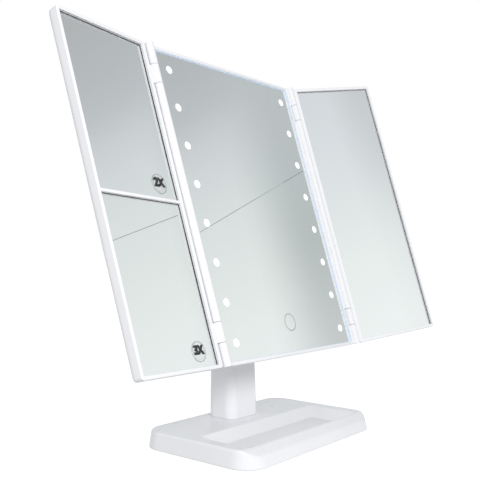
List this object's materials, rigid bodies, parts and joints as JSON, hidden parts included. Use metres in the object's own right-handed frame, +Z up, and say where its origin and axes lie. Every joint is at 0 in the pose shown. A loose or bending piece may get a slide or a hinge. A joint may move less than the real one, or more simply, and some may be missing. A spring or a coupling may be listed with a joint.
{
  "type": "lighted vanity mirror",
  "caption": "Trifold make-up mirror with light spots in the glass, folding side mirrors, a tilting head on a post and a base with a tray.",
  "frame": {"origin": "centre of the base's underside, on the surface it stands on", "axes": "+X to the right as the user sees it, +Y away from the user, +Z up"},
  "size_m": [0.3509, 0.1256, 0.3141],
  "materials": {
    "white_plastic": "smooth moulded satin gloss",
    "mirror_glass": "polished silvered glass",
    "rubber_mat": "matt fine grain",
    "steel": "zinc plated",
    "black_nylon": "matt",
    "foam_tape": "matt foam",
    "milky_plastic": "translucent milky",
    "circuit_board": "solder mask",
    "led_chip": "phosphor dome",
    "copper": "bare foil",
    "wire_jacket": "smooth",
    "cell_jacket": "printed sleeve, plain",
    "clear_label": "clear film"
  },
  "bodies": {
    "base": {"base_shell": "white_plastic", "base_cover": "white_plastic", "base_mat": "rubber_mat", "base_weights": "steel", "base_screws": "steel", "post": "white_plastic", "post_screws": "steel"},
    "head": {"tilt_bracket": "white_plastic", "bracket_screws": "steel", "tilt_axle": "steel", "tilt_nut": "steel", "friction_washers": "black_nylon", "axle_caps": "white_plastic", "centre_bezel": "white_plastic", "centre_glass": "mirror_glass", "centre_tape": "foam_tape", "light_diffusers": "milky_plastic", "led_board_left": "circuit_board", "led_board_right": "circuit_board", "leds": "led_chip", "touch_pad": "copper", "touch_board": "circuit_board", "control_board": "circuit_board", "usb_socket": "steel", "wiring": "wire_jacket", "battery_cells": "cell_jacket", "battery_contacts": "steel", "battery_springs": "steel", "battery_housing": "white_plastic", "housing_screws": "steel", "back_shell": "white_plastic", "head_screws": "steel", "hinge_pins": "steel"},
    "left_wing": {"left_frame": "white_plastic", "glass_2x": "mirror_glass", "glass_3x": "mirror_glass", "label_2x": "clear_label", "label_3x": "clear_label", "left_back": "white_plastic", "left_tape": "foam_tape"},
    "right_wing": {"right_frame": "white_plastic", "right_glass": "mirror_glass", "right_back": "white_plastic", "right_tape": "foam_tape"},
    "door": {"battery_door": "white_plastic"}
  },
  "joints": [
    {"name": "head_tilt", "type": "hinge", "parent": "base", "child": "head", "pos_m": [0, 0.0345, 0.14], "axis": [1, 0, 0], "range_deg": [-61.4, 28.6]},
    {"name": "left_wing_fold", "type": "hinge", "parent": "head", "child": "left_wing", "pos_m": [-0.0894, 0.00423, 0.18743], "axis": [0, 0.319, 0.9478], "range_deg": [-6.1, 173.9]},
    {"name": "right_wing_fold", "type": "hinge", "parent": "head", "child": "right_wing", "pos_m": [0.0894, 0.00423, 0.18743], "axis": [0, -0.319, -0.9478], "range_deg": [-26.4, 153.6]},
    {"name": "battery_door_slide", "type": "slide", "parent": "head", "child": "door", "axis": [0, 0.319, 0.9478], "range_m": [0, 0.056]}
  ]
}
